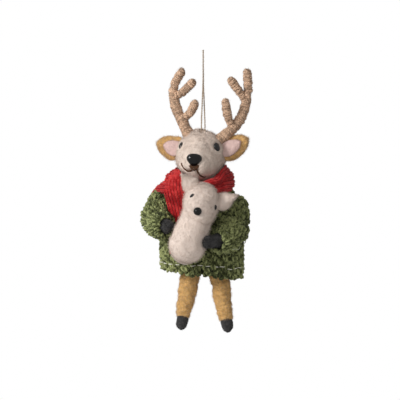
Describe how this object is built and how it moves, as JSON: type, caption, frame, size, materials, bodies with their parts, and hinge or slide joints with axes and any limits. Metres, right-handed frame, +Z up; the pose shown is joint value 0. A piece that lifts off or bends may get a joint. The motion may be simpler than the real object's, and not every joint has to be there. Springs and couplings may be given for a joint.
{
  "type": "hanging deer ornament",
  "caption": "Felted deer in a chunky knitted sweater and scarf, hugging a felted lamb, with wool-wrapped antlers, hung from a loop of twine it turns and swings on.",
  "frame": {"origin": "inside the bight at the top of the twine loop, where a hook or twig bears", "axes": "+Z up along the hanging line, -Y the way that the deer faces, +X the deer's own left"},
  "size_m": [0.0777, 0.0731, 0.1977],
  "materials": {
    "cream_felt": "matte",
    "lamb_felt": "matte",
    "ochre_felt": "matte",
    "pink_felt": "matte",
    "dark_felt": "matte",
    "antler_wool": "matte",
    "green_knit": "matte",
    "red_knit": "matte",
    "pale_thread": "matte",
    "brown_thread": "matte",
    "twine": "matte",
    "black_bead": "gloss",
    "core_wire": "satin"
  },
  "bodies": {
    "hanger": {"hanger_loop": "twine"},
    "knot": {"hanger_knot": "twine"},
    "head": {"head": "cream_felt", "nose": "black_bead", "mouth_stitch_right": "brown_thread", "mouth_stitch_left": "brown_thread", "eye_right": "black_bead", "ear_right": "ochre_felt", "ear_right_lining": "pink_felt", "antler_right_beam": "antler_wool", "antler_right_wire": "core_wire", "antler_right_lower_tine": "antler_wool", "antler_right_upper_tine": "antler_wool", "eye_left": "black_bead", "ear_left": "ochre_felt", "ear_left_lining": "pink_felt", "antler_left_beam": "antler_wool", "antler_left_wire": "core_wire", "antler_left_lower_tine": "antler_wool", "antler_left_upper_tine": "antler_wool"},
    "torso": {"torso": "cream_felt", "neck_wire": "core_wire", "sweater_body": "green_knit", "hem_thread": "pale_thread", "scarf_wrap": "red_knit", "scarf_front_end": "red_knit", "scarf_back_end": "red_knit", "lamb_head": "lamb_felt", "lamb_body": "lamb_felt", "lamb_nose": "black_bead", "arm_right_wire": "core_wire", "arm_right": "ochre_felt", "paw_right": "dark_felt", "sweater_sleeve_right": "green_knit", "lamb_eye_right": "black_bead", "lamb_ear_right": "lamb_felt", "arm_left_wire": "core_wire", "arm_left": "ochre_felt", "paw_left": "dark_felt", "sweater_sleeve_left": "green_knit", "lamb_eye_left": "black_bead", "lamb_ear_left": "lamb_felt"},
    "leg_right": {"leg_right": "ochre_felt", "hoof_right": "dark_felt", "leg_right_wire": "core_wire"},
    "leg_left": {"leg_left": "ochre_felt", "hoof_left": "dark_felt", "leg_left_wire": "core_wire"}
  },
  "joints": [
    {"name": "figure_turn", "type": "hinge", "parent": "hanger", "child": "knot", "pos_m": [0, 0, -0.0582], "axis": [0, 0, 1], "range_deg": [-180, 180]},
    {"name": "figure_swing", "type": "hinge", "parent": "knot", "child": "head", "pos_m": [0, 0, -0.0582], "axis": [1, 0, 0], "range_deg": [-35, 35]},
    {"name": "neck_turn", "type": "hinge", "parent": "head", "child": "torso", "pos_m": [-0.0015, 0.0034, -0.09026], "axis": [0, 0, 1], "range_deg": [-15, 15]},
    {"name": "leg_right_swing", "type": "hinge", "parent": "torso", "child": "leg_right", "pos_m": [-0.0077, 0.006, -0.14825], "axis": [1, 0, 0], "range_deg": [-30, 30]},
    {"name": "leg_left_swing", "type": "hinge", "parent": "torso", "child": "leg_left", "pos_m": [0.0097, 0.006, -0.14995], "axis": [1, 0, 0], "range_deg": [-30, 30]}
  ]
}
